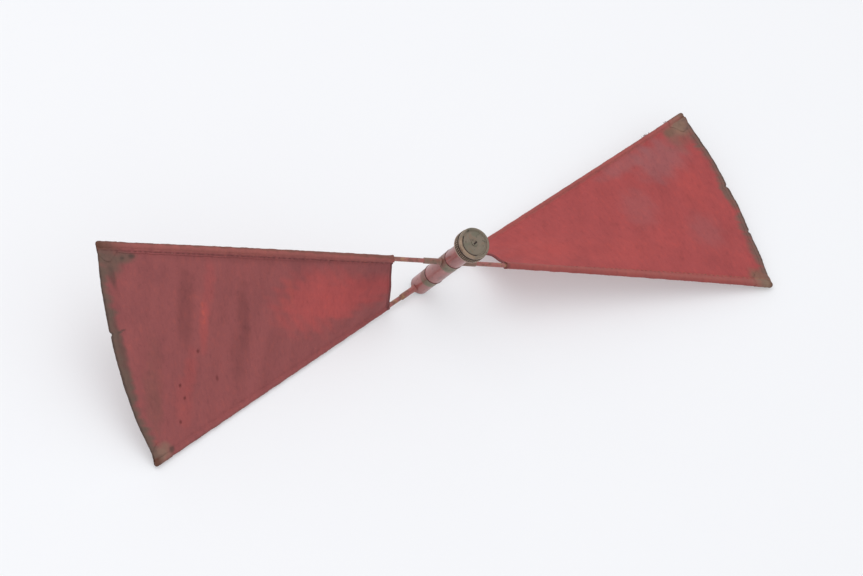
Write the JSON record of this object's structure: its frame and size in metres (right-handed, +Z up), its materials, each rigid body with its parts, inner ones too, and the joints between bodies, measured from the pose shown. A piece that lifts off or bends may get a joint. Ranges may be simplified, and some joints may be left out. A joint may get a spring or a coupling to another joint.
{
  "type": "railway hand signal",
  "caption": "Folding bow-tie railway hand signal: crossed rod arms on a tubular hub with a knurled clamping knob carry red cloth wings.",
  "frame": {"origin": "centre of the hub's flat foot face, at the mouth of its staff socket", "axes": "+Z straight up from the table that the open signal rests on; +X along the lower arm to the right-hand wing; the hub leans about 20 degrees towards -Y"},
  "size_m": [0.9701, 0.5063, 0.1743],
  "materials": {
    "red_paint": "worn satin enamel",
    "worn_red_iron": "worn enamel over dark iron",
    "tarnished_brass": "tarnished, grey-green",
    "bronze": "handled, dull",
    "dark_steel": "dark, oiled",
    "dark_washer": "oiled",
    "red_cloth": "oiled, faded",
    "hem_cloth": "worn, frayed",
    "dark_binding": "worn, dark",
    "worn_leather": "scuffed"
  },
  "bodies": {
    "lower_arm": {"foot_plug": "dark_steel", "foot_pin": "dark_steel", "spindle": "dark_steel", "bottom_sleeve": "red_paint", "lower_band": "tarnished_brass", "lower_friction_washer": "dark_washer", "upper_friction_washer": "dark_washer", "top_sleeve": "red_paint", "top_bush": "bronze", "thrust_washer": "bronze", "lower_left_ferrule": "worn_red_iron", "lower_right_ferrule": "worn_red_iron", "lower_left_rod": "red_paint", "lower_right_rod": "red_paint", "lower_left_pocket": "hem_cloth", "lower_right_pocket": "hem_cloth", "lower_left_patch": "worn_leather", "lower_right_patch": "worn_leather", "left_wing": "red_cloth", "right_wing": "red_cloth", "left_outer_hem": "dark_binding", "right_outer_hem": "dark_binding", "left_inner_hem": "hem_cloth", "right_inner_hem": "hem_cloth"},
    "upper_arm": {"middle_sleeve": "red_paint", "upper_band": "tarnished_brass", "lower_bush": "bronze", "arm_bush": "bronze", "upper_left_ferrule": "worn_red_iron", "upper_right_ferrule": "worn_red_iron", "upper_left_rod": "red_paint", "upper_right_rod": "red_paint", "upper_left_pocket": "hem_cloth", "upper_right_pocket": "hem_cloth", "upper_left_patch": "worn_leather", "upper_right_patch": "worn_leather"},
    "knob": {"knob_body": "bronze", "knob_disc": "tarnished_brass", "knob_insert": "dark_steel", "knob_screw": "dark_steel"}
  },
  "joints": [
    {"name": "fan_pivot", "type": "hinge", "parent": "lower_arm", "child": "upper_arm", "pos_m": [-0.00271, -0.03211, 0.08937], "axis": [-0.0285, -0.338, 0.9407], "range_deg": [0, 33], "deforming": ["left_wing", "right_wing", "left_outer_hem", "right_outer_hem", "left_inner_hem", "right_inner_hem"]},
    {"name": "knob_screw_turn", "type": "hinge", "parent": "lower_arm", "child": "knob", "pos_m": [-0.00457, -0.05409, 0.15051], "axis": [-0.0285, -0.338, 0.9407], "range_deg": [0, 360]}
  ]
}
